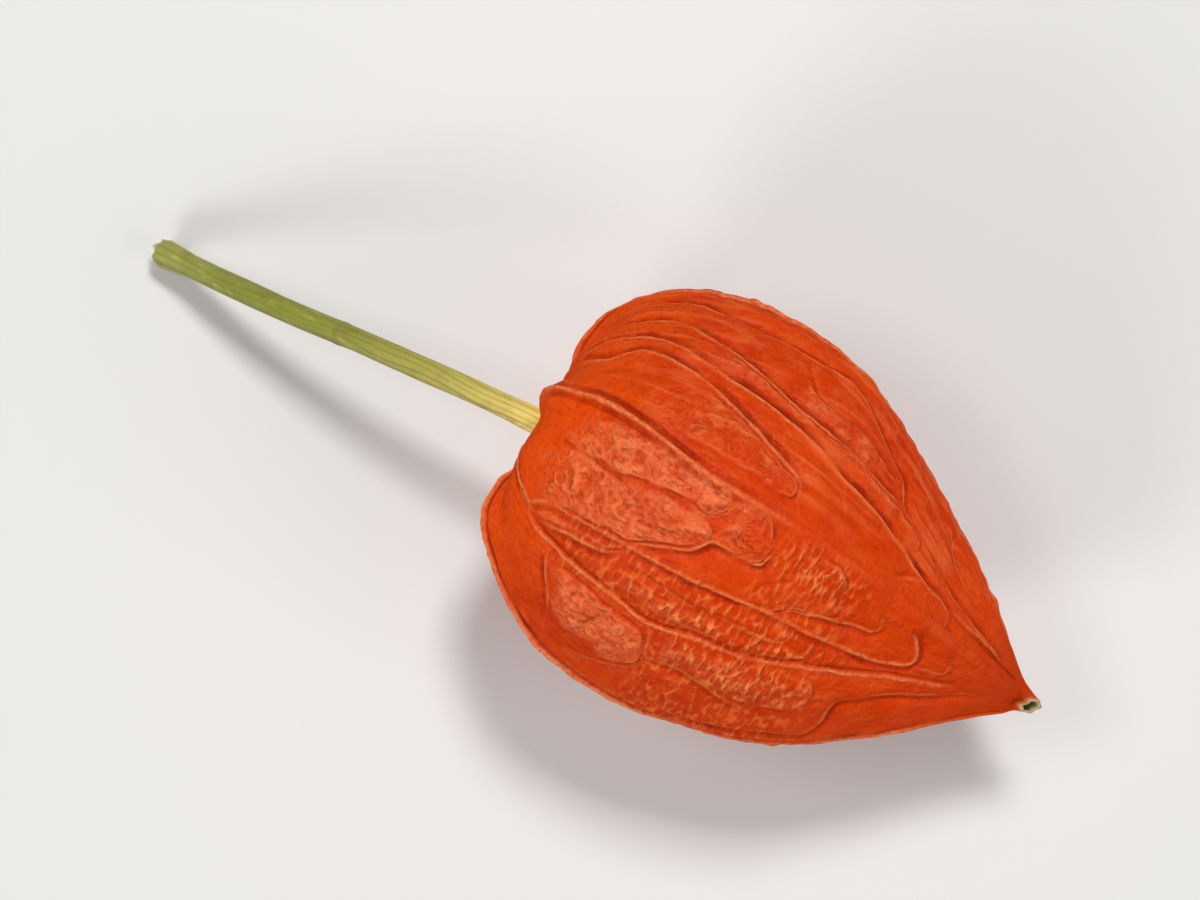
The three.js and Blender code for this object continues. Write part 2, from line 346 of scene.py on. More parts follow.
def copied(line, old, new, seed):
    """A line of one panel carried over to another and warped, so that no two panels match."""
    fainter, longer = 0.8, 0.05
    strength, drop, way, angle = line
    share = np.clip((angle - old[0]) / (old[1] - old[0]), 0, 1)
    wave = 0.035 * np.sin(way * 0.21 + seed) + 0.05 * np.sin(way * 0.083 + seed * 1.7)
    share = np.clip(share + wave * np.sin(np.pi * share), 0, 1)
    way = way * (1 + longer * math.sin(seed * 2.3) * np.sin(np.pi * way / husk_way))
    drop = drop if new[1] > new[0] else -drop
    return fainter * strength, drop, way, new[0] + share * (new[1] - new[0])


# Each kind of vein, and of each line its strength, lower side, ways and angles. The ribs are three
# kinds, so that neighbours which leave the stem together are measured apart.
veins = {"rib_a": [], "rib_b": [], "rib_c": [], "lateral": [], "fold": []}
for number, (strength, lower_side, points) in enumerate(stem_veins):
    way, angle = on_husk(points)
    root = wide_root if angle[0] < wide_panel[1] else right_root
    line = (strength, lower_side, *from_stem(way, angle, root))
    veins[("rib_a", "rib_b", "rib_c")[number % 3]].append(line)
for strength, lower_side, points in side_veins:
    veins["lateral"].append((strength, lower_side, *on_husk(points)))
for strength, lower_side, points in upper_folds:
    veins["fold"].append((strength, lower_side, *on_husk(points)))
for lines in veins.values():
    for line in list(lines):
        own = wide_panel if line[3].mean() < wide_panel[1] else right_panel
        lines.extend(copied(line, old, new, seed) for old, new, seed in vein_copies if old == own)
ridge_way = np.linspace(first_way, mouth_way, 200)
veins["ridge"] = [(strength, 1, ridge_way, np.full(ridge_way.shape, float(angle)))
                  for angle, strength in zip(ridge_angles, ridge_strengths)]


def nearest(lines):
    """For each point of the husk: how far the nearest line is, its strength, and how far the point is
    on its lower side (below 0 on the other)."""
    pace, fade = 0.12, 2.5          # between the points of a line, and of its strength at both ends
    places, strengths, lower_sides, headings = [], [], [], []
    for strength, lower_side, way, angle in lines:
        place = husk_surface(way, angle)
        run = np.concatenate([[0], np.cumsum(np.linalg.norm(np.diff(place, axis=0), axis=1))])
        at = np.linspace(0, run[-1], int(run[-1] / pace) + 2)
        place = husk_surface(np.interp(at, run, way), np.interp(at, run, angle))
        places.append(place)
        strengths.append(strength * smooth(0, fade, at) * smooth(0, fade, run[-1] - at))
        lower_sides.append(np.full(len(at), float(lower_side)))
        headings.append(np.gradient(place, axis=0))
    places, headings = np.vstack(places), np.vstack(headings)
    tree = kdtree.KDTree(len(places))
    for number, place in enumerate(places.tolist()):
        tree.insert(place, number)
    tree.balance()
    found = [tree.find(point)[1:] for point in plain.reshape(-1, 3).tolist()]
    number = np.array([item[0] for item in found])
    distance = np.array([item[1] for item in found]).reshape(way_grid.shape)
    to_left = np.cross(outward.reshape(-1, 3), headings[number])
    to_left /= np.linalg.norm(to_left, axis=1, keepdims=True)
    aside = ((plain.reshape(-1, 3) - places[number]) * to_left).sum(axis=1)
    strength = np.concatenate(strengths)[number].reshape(way_grid.shape)
    side = (aside * np.concatenate(lower_sides)[number]).reshape(way_grid.shape)
    return distance, strength, side


seed_gap = 17.3                     # in the noise, from one seed to the next


def grain(size, stretch=(1, 1, 1), seed=0):
    """Noise over the husk from -1 to 1, with lumps about that many millimetres across."""
    at = plain.reshape(-1, 3) / size * stretch + seed * seed_gap
    return np.array([noise.noise(point) for point in at.tolist()]).reshape(way_grid.shape)


narrow = np.clip(out_grid / 6, 0.22, 1)         # everything crowds together at the stem and the tip
bare = smooth(1.6, 8, out_grid)                 # 0 where the skin is gathered at the stem and the tip
calm = smooth(1.5, 4.0, along_grid) * bare      # 0 over the shoulder too
top_side = smooth(0.1, 0.4, outward[..., 2])
place_along = plain[..., 0] + widest_at         # as seen from above, from the shoulder
place_across = plain[..., 1]
# How near the upper ridge is, and how little each ridge has worn away past the widest place.
ridge_spread = 12                   # degrees
on_top = np.mod(angle_grid - ridge_angles[0] + 180, 360) - 180
on_top = np.exp(-(on_top / ridge_spread) ** 2)
wear = np.where(on_top > 0.4, 0.9, 0.5 + 0.35 * grain(14, seed=1))
worn = 1 - smooth(widest_at, widest_at + 10, along_grid) * wear

# Of each kind of vein: how far its cord spreads and how high it stands, how much lower the skin past
# it lies, and the seed of its unevenness.
vein_shapes = {
    "rib_a": (0.24, 0.13, 0.08, 20), "rib_b": (0.24, 0.13, 0.08, 21), "rib_c": (0.24, 0.12, 0.07, 22),
    "lateral": (0.22, 0.09, 0.05, 23), "fold": (0.24, 0.14, 0.22, 24), "ridge": (0.28, 0.26, 0.0, 25),
}
groove_depth, groove_width = 0.07, 0.3     # of the groove on a vein's lower side
step_width, step_reach = 0.3, 1.5          # of the drop across it, and how soon the skin is level again
off_vein, vein_strength = {}, {}
off_seams = np.full(way_grid.shape, 9.0)   # from the nearest vein, more where that vein is weak
raised = np.zeros(way_grid.shape)
for kind, (spread, high, drop, seed) in vein_shapes.items():
    far, strength, side = nearest(veins[kind])
    if kind == "ridge":
        strength = strength * worn
        side = np.abs(side)
        ridge_far, ridge_strength = far, strength
    strength = strength * (0.9 + 0.5 * grain(4.5, seed=seed))
    cord = np.exp(-(far / spread / narrow) ** 2)
    groove = np.exp(-((side / narrow - 0.75 * spread - groove_width) / groove_width) ** 2)
    step = -np.tanh(side / step_width) * np.exp(-far / step_reach)
    raised = raised + strength * (
        high * cord * np.sqrt(narrow) - groove_depth * groove * narrow + drop * step * bare)
    off_seams = np.minimum(off_seams, far / np.clip(strength, 0.05, 1))
    off_vein[kind] = np.clip(side / narrow, -3, 3)
    vein_strength[kind] = strength * smooth(1.1, 0.8, far / narrow)
puff_reach, puff_fullness = 1.5, 1.3
puff = 1 - np.exp(-(off_seams / puff_reach) ** puff_fullness)

# The seam along each ridge: its edge, where a highlight is painted, and its crinkle, which the upper
# ridge lacks at the pod's widest place.
edge_width, crinkle_width, taut_length = 0.9, 1.3, 14
edge_light = ridge_strength * np.exp(-(ridge_far / edge_width) ** 2) * bare
slack = 1 - np.exp(-((along_grid - widest_at) / taut_length) ** 2) * on_top
crinkled_seam = np.exp(-(ridge_far / crinkle_width) ** 2) * bare * slack

bend = np.stack([grain(2.6, seed=2), grain(2.6, seed=3), grain(2.6, seed=4)], axis=-1)


def over_and_under(upper, under):
    """One value on the side that faces up, another on the rest, with a soft change between them."""
    return upper + (under - upper) * (1 - top_side)


def depth_inside(points):
    """How far inside a closed outline each point lies as seen from above, below 0 outside it, and how
    steep its nearest edge is: steep where it faces the tip or lies along the pod, else worn away."""
    outline = through(points + points[:1], 5)
    x, y = outline[:-1].T
    turning = 1 if (x * np.roll(y, -1) - np.roll(x, -1) * y).sum() > 0 else -1
    within = np.zeros(way_grid.shape, bool)
    far = np.full(way_grid.shape, 99.0)
    steep = np.zeros(way_grid.shape)
    for (x1, y1), (x2, y2) in zip(outline[:-1], outline[1:]):
        length = math.hypot(x2 - x1, y2 - y1)
        share = ((place_along - x1) * (x2 - x1) + (place_across - y1) * (y2 - y1)) / length ** 2
        share = np.clip(share, 0, 1)
        off = np.hypot(place_along - x1 - share * (x2 - x1), place_across - y1 - share * (y2 - y1))
        faces_tip = turning * (y2 - y1) / length
        steep = np.where(off < far, faces_tip + 0.4 * abs(x2 - x1) / length, steep)
        far = np.minimum(far, off)
        if y1 != y2:
            crossing = x1 + (place_across - y1) * (x2 - x1) / (y2 - y1)
            within ^= ((y1 > place_across) != (y2 > place_across)) & (place_along < crossing)
    return np.where(within, far, -far), smooth(-0.1, 0.7, steep)


# How far inside a blister the skin lies: the drawn ones above, chance ones below. Their edges waver,
# and slope gently where they are worn.
deepest = 1.5
blister = np.full(way_grid.shape, -99.0)
steep = np.zeros(way_grid.shape)
for points in upper_blisters:
    depth, edge = depth_inside(points)
    steep = np.where(depth > blister, edge, steep)
    blister = np.maximum(blister, depth)
blister = blister * (0.3 + 0.7 * steep) + 0.24 * bend[..., 0] + 0.16 * grain(1.2, seed=14)
hidden_blister = 1.6 * (grain(6, (0.7, 1.4, 1.4), seed=5) - 0.12) + 0.2 * bend[..., 1]
blister = np.clip(over_and_under(blister, hidden_blister), -deepest, deepest)
steep = steep * top_side
crown = smooth(-0.15, 0.5, blister) * bare

# Where the skin is puckered crosswise, like a ladder: nearer the tip beside the upper ridge, and on
# the wide panel's low side. A smooth channel runs through it.
ladder = np.maximum(
    smooth(24, 28, place_along) * smooth(4, 1.5, place_across),
    smooth(-4.8, -5.8, place_across) * np.maximum(
        smooth(5, 10, place_along) * smooth(-11.4, -10.4, place_across), smooth(18, 22, place_along)))
ladder = over_and_under(ladder * smooth(40, 32, place_along), 0.7 * smooth(-0.4, 0.6, grain(12, seed=12)))
channel = np.exp(-((place_across + 2.0) / 1.5) ** 2) * smooth(26, 29, place_along) * top_side
pucker_share = (0.50 + 0.50 * crown) * (1 - 0.75 * channel) * ladder * calm
# Elsewhere it has pits and worm-like dents, crumples on the blisters, and fine lengthwise fibres.
worm_share = (0.35 + 0.65 * crown) * (1 - ladder) * calm
crumple_share = (0.35 + 0.65 * top_side) * calm * (1 - ladder) * np.maximum(
    crown, 0.2 * smooth(5, 8, place_across) * top_side)
fibre_share = over_and_under(
    0.15 + 0.85 * smooth(3.5, 6.5, place_across), smooth(-0.2, 0.5, grain(12, seed=16)))
fibre_share = fibre_share * (calm * (1 - 0.6 * crown))


def creases(size, stretch, seed):
    """Fine raised lines that wander over the skin, from 0 to 1."""
    at = (plain + 0.9 * bend).reshape(-1, 3) / size * stretch + seed * seed_gap
    level = np.array([noise.noise(point) for point in at.tolist()]).reshape(way_grid.shape)
    return 1 - smooth(0, 0.34, np.abs(level))


# The lumps of each layer of unevenness: where it is, how high, how large, how much closer together
# along the pod, across it and upwards, and its seed.
lump_layers = (
    (bare, 0.28, 9, (1, 1, 1), 6), (bare, 0.16, 4, (0.6, 1.1, 1.1), 7),
    (crinkled_seam, 0.15, 1.7, (1.3, 0.8, 0.8), 15), (crinkled_seam, 0.08, 0.8, (1, 1, 1), 21),
    (pucker_share, 0.11, 1.1, (1.4, 0.8, 0.8), 9),
    (calm, 0.11, 2.2, (0.4, 1.2, 1.2), 13), (calm, 0.09, 1.3, (1, 1, 1), 10),
    (calm * crown, 0.12, 1.6, (0.6, 1.1, 1.1), 17),
    (calm * fibre_share, 0.14, 1.6, (0.22, 1.0, 1.0), 18),
)
crease_layers = (                   # the same for creases
    (crumple_share, -0.10, 2.6, (0.6, 1.2, 1.2), 8), (crumple_share, 0.13, 3.4, (0.7, 1.1, 1.1), 19),
    (pucker_share, 0.03, 1.6, (1.2, 0.8, 0.8), 9),
)
puff_height, crown_height = 0.38, 0.13
lift = raised + puff_height * bare * puff + crown_height * crown
for where, high, size, stretch, seed in lump_layers:
    lift = lift + high * where * grain(size, stretch, seed)
for where, high, size, stretch, seed in crease_layers:
    lift = lift + high * where * creases(size, stretch, seed)

mouth_sideways, mouth_up, mouth_teeth = 0.45, 0.80, 0.10      # of the dried mouth's rim at the tip
mouth_radius = 0.046 * pod_radius
tip_from, sepals, tooth_angle = 0.955, 5, 8                   # a share of the length, and degrees
settling = 0.6                      # height below which the skin gives way where it rests
skin = plain + outward * lift[..., None]
around = np.radians(angle_grid)
at_tip = smooth(tip_from, 1.0, along_grid / pod_length) * (way_grid > husk_way / 2)
teeth = np.cos(np.radians(sepals * (angle_grid - tooth_angle)))
tip_share = np.clip(out_grid / mouth_radius, 0, 1.3) * at_tip
lean = mouth_sideways * np.sin(around) - mouth_up * np.cos(around)
skin[..., 0] += tip_share * (lean + mouth_teeth * teeth)
skin[..., 2] = (skin[..., 2] + np.sqrt(skin[..., 2] ** 2 + settling ** 2)) / 2
skin[..., 2] -= skin[..., 2].min()

cad_husk_low, cad_husk_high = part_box("husk")
shift = np.array([
    cad_husk_high.x / mm - (pod_length - widest_at) * math.cos(nose_down),
    (cad_husk_low.y + cad_husk_high.y) / 2 / mm - (plain[..., 1].min() + plain[..., 1].max()) / 2,
    0,
])


def closed_tube(name, rings, first, last):
    """A closed mesh of rings of points, in millimetres, with a point at either end."""
    count, steps = rings.shape[:2]
    points = np.vstack([rings.reshape(-1, 3), first, last]) * mm
    ring, step = np.meshgrid(np.arange(count - 1), np.arange(steps), indexing="ij")
    a = ring * steps + step
    b = ring * steps + (step + 1) % steps
    faces = np.stack([a, a + steps, b + steps, b], axis=-1).reshape(-1, 4).tolist()
    turn = np.arange(steps)
    after = (turn + 1) % steps
    end = (count - 1) * steps
    faces += np.stack([turn, after, np.full(steps, count * steps)], axis=-1).tolist()
    faces += np.stack([end + after, end + turn, np.full(steps, count * steps + 1)], axis=-1).tolist()
    mesh = bpy.data.meshes.new(name)
    mesh.from_pydata(points.tolist(), [], faces)
    mesh.polygons.foreach_set("use_smooth", [True] * len(mesh.polygons))
    mesh.update()
    piece = bpy.data.objects.new(name, mesh)
    bpy.context.scene.collection.objects.link(piece)
    return piece


def mark(piece, name, values, first, last):
    """A named number on each point of a closed tube, for its material."""
    attribute = piece.data.attributes.new(name, "FLOAT", "POINT")
    attribute.data.foreach_set("value", np.append(values.ravel(), [first, last]).astype(np.float32))


dimple_floor, mouth_floor = skin[0].mean(axis=0) + shift, skin[-1].mean(axis=0) + shift
husk = closed_tube("husk_skin", skin + shift, dimple_floor, mouth_floor)
for kind in veins:
    mark(husk, kind + "_off", off_vein[kind], 3, 3)
    mark(husk, kind + "_strength", vein_strength[kind], 0, 0)
mark(husk, "blister", blister, -deepest, -deepest)
mark(husk, "steep", steep, 0, 0)
# A sheen is painted on the crumpled tops of blisters, most at the stem end of the wide panel, then
# along its low side and on the right panel. A highlight is painted on the crinkled seams where they
# turn from above.
near_crown = np.exp(-((place_along - 12) / 9) ** 2 - ((place_across + 1) / 6) ** 2) * top_side
painted_sheen = 0.12 + smooth(24, 19, place_along) * smooth(5.5, 3.5, place_across) * top_side * (
    0.58 + 0.30 * smooth(-1.5, 0.5, place_across))
low_side = smooth(-9, -11, place_across) * smooth(40, 32, place_along)
painted_sheen += top_side * (0.42 * low_side + 0.28 * smooth(8.5, 10, place_across))
turned_out = smooth(0.75, 0.25, outward[..., 2])
painted_seam_sheen = 0.7 * crinkled_seam * turned_out * calm
painted_seam_sheen = painted_seam_sheen * smooth(10, 16, along_grid) * smooth(-0.2, 0.4, bend[..., 2])
mark(husk, "painted_sheen", np.maximum(crown * painted_sheen + 0.22 * near_crown * calm, painted_seam_sheen), 0, 0)
for name, extent in (("worms", worm_share), ("puckers", pucker_share),
                     ("crumples", crumple_share), ("fibres", fibre_share)):
    mark(husk, name, extent, 0, 0)
# A highlight is painted in beads along each ridge's edge where it turns from above.
mark(husk, "seam", edge_light * turned_out, 0, 0)
mark(husk, "shoulder", 1 - smooth(2, 9, along_grid), 1, 0)
# Where the skin faces away from above: painted shade, and flatter relief.
mark(husk, "turned_away", smooth(0.55, 0.0, outward[..., 2]), 0, 0)
mark(husk, "star", np.where(way_grid < husk_way / 2, 1 - smooth(1.5, 9, out_grid), 0), 1, 0)
mark(husk, "tip", smooth(0.80, 0.97, along_grid / pod_length), 0, 1)
mark(husk, "mouth_rim", np.exp(-((way_grid - mouth_way - 0.1) / 0.35) ** 2), 0, 0)
mark(husk, "mouth", smooth(mouth_way + 0.1, mouth_way + 0.5, way_grid), 0, 1)


def paint(red, green, blue):
    """A colour given as it looks on a screen, 0 to 255."""
    shares = [level / 255 for level in (red, green, blue)]
    return (*(((share + 0.055) / 1.055) ** 2.4 if share > 0.04 else share / 12.92 for share in shares), 1)


def add_node(tree, kind, sockets=(), **settings):
    """A node with its settings, and each socket either set to a value or joined to another node."""
    node = tree.nodes.new(kind)
    for name, value in settings.items():
        setattr(node, name, value)
    for name, value in dict(sockets).items():
        if isinstance(value, bpy.types.NodeSocket):
            tree.links.new(value, node.inputs[name])
        else:
            node.inputs[name].default_value = value
    return node


def amount(tree, how, first, second=0.0, third=0.0, clamp=False):
    """One step of arithmetic."""
    sockets = {0: first, 1: second, 2: third}
    return add_node(tree, "ShaderNodeMath", sockets, operation=how, use_clamp=clamp).outputs[0]


def times(tree, first, second):
    return amount(tree, "MULTIPLY", first, second)


def contrast(tree, level, gain, base):
    """A noise multiplied by the gain and added to the base, held between 0 and 1."""
    return amount(tree, "MULTIPLY_ADD", level, gain, base, clamp=True)


def marked(tree, name):
    """What was marked on the mesh under that name."""
    return add_node(tree, "ShaderNodeAttribute", attribute_name=name).outputs["Fac"]


def tinted(tree, colour, tints):
    """A colour turned towards tints in turn, each given as its share and its screen colour."""
    for share, tint in tints:
        mix = add_node(tree, "ShaderNodeMix", {0: share, 6: colour, 7: paint(*tint)}, data_type="RGBA")
        colour = mix.outputs[2]
    return colour


husk_paper = bpy.data.materials.new("husk_paper")
husk_paper.use_nodes = True
paper = husk_paper.node_tree
spot = add_node(paper, "ShaderNodeTexCoord").outputs["Object"]
in_mm = add_node(paper, "ShaderNodeVectorMath", {0: spot, "Scale": 1 / mm}, operation="SCALE").outputs[0]


def paper_noise(size, detail=2.0, at=in_mm, rough=0.5):
    return add_node(paper, "ShaderNodeTexNoise", {
        "Vector": at, "Scale": 1 / size, "Detail": detail, "Roughness": rough,
    }).outputs["Fac"]


def stretched(at, along, across, up):
    """Places for noise that is drawn out where a number is below 1."""
    return add_node(paper, "ShaderNodeMapping", {"Vector": at, "Scale": (along, across, up)}).outputs[0]


large = paper_noise(9.0, 2)
middle_grain = paper_noise(2.2, 3)
fine = paper_noise(0.6, 3, rough=0.6)
off_axis = add_node(paper, "ShaderNodeMapping", {
    "Vector": in_mm, "Location": (0, -shift[1], -axis_height), "Scale": (0, 1, 1)}).outputs[0]
off_axis = add_node(paper, "ShaderNodeVectorMath", {0: off_axis}, operation="NORMALIZE").outputs[0]


def lengthwise_at(crowding, stretch):
    """Places for noise that runs from the stem to the tip, closer together where the husk is thin."""
    run = stretched(in_mm, stretch, 0, 0)
    return add_node(paper, "ShaderNodeVectorMath", {0: off_axis, 1: (crowding,) * 3, 2: run},
                    operation="MULTIPLY_ADD").outputs[0]


wrinkle = paper_noise(0.8, 2, at=lengthwise_at(14, 0.22))
warp = add_node(paper, "ShaderNodeTexNoise", {"Vector": in_mm, "Scale": 0.5, "Detail": 2.0})
warped = add_node(paper, "ShaderNodeVectorMath", {
    0: warp.outputs["Color"], 1: (1.6, 1.6, 1.6), 2: in_mm}, operation="MULTIPLY_ADD").outputs[0]
warped = stretched(warped, 0.6, 1.0, 1.0)
cell_edge = add_node(paper, "ShaderNodeTexVoronoi", {"Vector": warped, "Scale": 0.42},
                     feature="DISTANCE_TO_EDGE").outputs["Distance"]
net = amount(paper, "SUBTRACT", 1.0, contrast(paper, cell_edge, 14.0, 0.0))
net = times(paper, net, contrast(paper, middle_grain, 2.4, -0.7))


def bump_at(off, at, spread):
    """1 where the distance off a vein is at, falling away over the spread, in millimetres."""
    away = amount(paper, "DIVIDE", amount(paper, "SUBTRACT", off, at), spread)
    return amount(paper, "EXPONENT", times(paper, amount(paper, "POWER", away, 2.0), -1.0))


waver = paper_noise(1.3, 1)
fading = contrast(paper, paper_noise(3.6, 1), 2.6, -0.55)


def vein_lines(kind, spread, dip_at):
    """The crest of a kind of vein, lit by a painted highlight, and its groove, in painted shade."""
    off = amount(paper, "SUBTRACT", marked(paper, kind + "_off"), 0.15)
    off = amount(paper, "MULTIPLY_ADD", waver, 0.30, off)
    strength = times(paper, marked(paper, kind + "_strength"), fading)
    crest_line = times(paper, bump_at(off, 0.0, spread), strength)
    return crest_line, times(paper, bump_at(off, dip_at, spread * 1.2), strength)


def strongest(levels):
    total = levels[0]
    for level in levels[1:]:
        total = amount(paper, "MAXIMUM", total, level)
    return total


# The rim of a steep blister counts as one more vein, with its own groove, painted highlight and
# painted shade.
patchy = times(paper, contrast(paper, middle_grain, 2.6, -0.9), marked(paper, "steep"))
rim = marked(paper, "blister")
rim_crest = times(paper, bump_at(rim, 0.20, 0.14), times(paper, patchy, 0.5))
rim_dip = times(paper, bump_at(rim, -0.08, 0.12), patchy)
crests, dips = zip(
    vein_lines("ridge", 0.27, 0.62), vein_lines("rib_a", 0.23, 0.50), vein_lines("rib_b", 0.23, 0.50),
    vein_lines("rib_c", 0.22, 0.48), vein_lines("lateral", 0.18, 0.42), vein_lines("fold", 0.24, 0.52),
    (rim_crest, rim_dip),
)
beads = contrast(paper, paper_noise(0.42, 1), 3.0, -0.9)
vein_crest = times(paper, strongest(crests), amount(paper, "MULTIPLY_ADD", beads, 0.65, 0.35))
vein_dip = strongest(dips)


def between(level, low, high):
    """0 at the low level, 1 at the high one."""
    return contrast(paper, level, 1 / (high - low), -low / (high - low))


def line_at(level, half_width):
    """Lines where the noise crosses its middle."""
    off = amount(paper, "ABSOLUTE", amount(paper, "SUBTRACT", level, 0.5))
    return amount(paper, "SUBTRACT", 1.0, amount(paper, "DIVIDE", off, half_width, clamp=True))


def here_and_there(level, patches, low, high, mark_name):
    """A pattern kept to patches of a noise, and to where its mark allows it."""
    return times(paper, times(paper, level, between(patches, low, high)), marked(paper, mark_name))


worm_noise = add_node(paper, "ShaderNodeTexNoise", {
    "Vector": in_mm, "Scale": 0.80, "Detail": 1.5, "Distortion": 0.25,
}).outputs["Fac"]
worms = amount(paper, "POWER", line_at(worm_noise, 0.16), 1.6)
worms = here_and_there(worms, paper_noise(1.6, 1), 0.40, 0.62, "worms")
crumples = line_at(paper_noise(1.5, 1, at=warped), 0.11)
crumples = here_and_there(crumples, paper_noise(1.9, 1), 0.44, 0.60, "crumples")
fibres = line_at(paper_noise(1.0, 0.5, at=lengthwise_at(9, 0.05)), 0.08)
fibres = here_and_there(fibres, paper_noise(4.0, 1), 0.36, 0.62, "fibres")
pits = times(paper, between(paper_noise(0.62, 1), 0.52, 0.70), marked(paper, "worms"))
pucker_noise = paper_noise(0.62, 0.8, at=stretched(in_mm, 1.15, 0.5, 0.55))
# Painted highlights on the pucker tops and painted shade in the dimples between them.
puckers = times(paper, between(pucker_noise, 0.48, 0.72), marked(paper, "puckers"))
dimples = times(paper, between(pucker_noise, 0.50, 0.36), marked(paper, "puckers"))
seam_beads = amount(paper, "MULTIPLY_ADD", between(paper_noise(0.55, 1), 0.38, 0.64), 0.7, 0.3)
seam_beads = times(paper, seam_beads, marked(paper, "seam"))
# The painted sheen, mottled so that it is brightest on the tops of the fine grain.
painted_sheen_grain = amount(paper, "MULTIPLY_ADD", fine, 1.4, -0.65)
painted_sheen_grain = amount(paper, "MULTIPLY_ADD", middle_grain, 0.9, painted_sheen_grain, clamp=True)
star_lines = times(paper, marked(paper, "star"), vein_crest)

colour = tinted(paper, paint(190, 44, 1), (
    (contrast(paper, large, 2.4, -0.7), (211, 64, 4)),
    (contrast(paper, middle_grain, 1.8, -0.65), (211, 71, 9)),
    # painted sheen on the blister tops, and a painted highlight on the seams turning from above
    (times(paper, marked(paper, "painted_sheen"), painted_sheen_grain), (228, 117, 70)),
    # painted shade where the skin faces away from above
    (times(paper, marked(paper, "turned_away"), 0.45), (176, 30, 2)),
    # a painted highlight in beads along the ridges where they turn from above
    (seam_beads, (254, 142, 94)),
    (times(paper, marked(paper, "shoulder"), 0.7), (226, 76, 5)),
    (contrast(paper, fine, -1.5, 0.80), (164, 32, 1)),
    (contrast(paper, wrinkle, -1.8, 0.80), (172, 34, 1)),
    (times(paper, net, 0.22), (234, 100, 36)),
    # painted shade in the dimples between puckers, then a painted highlight on their tops
    (times(paper, dimples, 0.60), (170, 32, 2)),
    (times(paper, puckers, 0.90), (248, 132, 66)),
    # painted shade in the worm-like dents and pits
    (times(paper, amount(paper, "MAXIMUM", worms, pits), 0.45), (200, 50, 8)),
    # a painted highlight on the raised crumples
    (times(paper, crumples, 0.55), (248, 132, 76)),
    # a painted highlight along the lengthwise fibres
    (times(paper, fibres, 0.45), (240, 112, 56)),
    # painted shade in the groove beside each vein, then a painted highlight on its crest
    (times(paper, vein_dip, 0.74), (148, 19, 1)),
    (times(paper, vein_crest, 0.95), (250, 136, 80)),
    (times(paper, marked(paper, "star"), 0.55), (240, 130, 24)),
    (times(paper, star_lines, 0.7), (244, 186, 66)),
    (times(paper, marked(paper, "tip"), 0.7), (186, 54, 8)),
    (marked(paper, "mouth"), (84, 86, 50)),
    (marked(paper, "mouth_rim"), (206, 184, 140)),
))

bump_height = 0.18 * mm
height = 0.0
for pattern, high in (                                # as shares of the bump height
    (puckers, 2.3), (fine, 1.2), (pits, -0.6), (worms, -0.8), (net, 0.4), (wrinkle, 0.9),
    (crumples, 1.6), (fibres, 0.9), (seam_beads, 1.3), (vein_crest, 1.7), (vein_dip, -1.2),
):
    height = amount(paper, "MULTIPLY_ADD", pattern, high, height)
height = times(paper, height, amount(paper, "MULTIPLY_ADD", marked(paper, "turned_away"), -0.5, 1.0))
relief = add_node(paper, "ShaderNodeBump", {"Height": height, "Strength": 1.0, "Distance": bump_height})
gloss = amount(paper, "MULTIPLY_ADD", middle_grain, 0.14, 0.18)


def dress(piece, material, links, values):
    """The material's shader joined to its nodes and set to its values, and put on the piece."""
    shader = material.node_tree.nodes["Principled BSDF"]
    for name, output in links.items():
        material.node_tree.links.new(output, shader.inputs[name])
    for name, value in values.items():
        shader.inputs[name].default_value = value
    piece.data.materials.append(material)


dress(husk, husk_paper, {
    "Base Color": colour, "Roughness": gloss,
    "Normal": relief.outputs[0], "Coat Normal": relief.outputs[0],
}, {
    "Specular IOR Level": 0.0, "Coat Weight": 0.045, "Coat Roughness": 0.17, "Coat IOR": 2.0,
    "Subsurface Weight": 0.05, "Subsurface Radius": (1.0, 0.25, 0.08), "Subsurface Scale": mm,
})

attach(husk, "root")
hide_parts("husk")

# --- Stem ----------------------------------------------------------------------------------
# The pod's cut stalk, grown out of the floor of the husk's dimple: a thin green rod with lengthwise
# ribs, straw yellow where it widens into the husk, a faint ring part way along and a torn, pale end.
stem_length = 50
stem_radius = 1.22
stem_gap = 0.3                      # from the dimple's floor to where the stem starts
stem_line = [
    (0.00, 0.000, 0.000), (-0.10, 0.000, 0.000), (-0.26, -0.014, -0.028), (-0.46, -0.036, -0.096),
    (-0.69, -0.064, -0.208), (-0.93, -0.084, -0.352),
]                                   # along the pod, sideways and up, as shares of the length
stem_section = [
    (0.000, 1.46), (0.030, 1.34), (0.070, 1.12), (0.180, 1.00), (0.500, 0.98), (0.920, 1.00),
    (0.960, 1.15), (0.988, 1.22), (1.000, 1.05),
]                                   # share of the length from the husk, and of the radius
stem_turns = 80
stem_rings = 320
stem_ribs, rib_depth, rib_twist = 9, 0.13, 40         # the twist in degrees, from end to end
ring_at, ring_width = 27, 0.5                         # of the faint ring, from the husk
knot_at, knot_width = 0.98, 0.018                     # shares of the length, of the knot at the cut
flare_share, flare_rise = 0.06, 0.35                  # where the stem's rays spread into the husk
ray_middle = 0.6                                      # of a ray's height, level with the stem
unevenness, ring_rise, knot_rise = 0.05, 0.06, 0.08   # shares of the radius
lump_length, lump_width = 7, 0.8

seat = pod_length * half_section[0][0] - stem_gap
line = through(stem_line, 60) * stem_length
line_x = seat + line[:, 0] - widest_at
line_points = np.stack([
    line_x * math.cos(nose_down) + line[:, 2] * math.sin(nose_down),
    line[:, 1],
    axis_height - line_x * math.sin(nose_down) + line[:, 2] * math.cos(nose_down),
], axis=-1)
line_run = np.concatenate([[0], np.cumsum(np.linalg.norm(np.diff(line_points, axis=0), axis=1))])
share = np.linspace(0, 1, stem_rings)
centre = [np.interp(share * line_run[-1], line_run, line_points[:, k]) for k in range(3)]
centre = np.stack(centre, axis=-1)
forward = np.gradient(centre, axis=0)
forward /= np.linalg.norm(forward, axis=1, keepdims=True)
aside = np.cross(forward, (0, 1, 0))
aside /= np.linalg.norm(aside, axis=1, keepdims=True)
beside = np.cross(aside, forward)

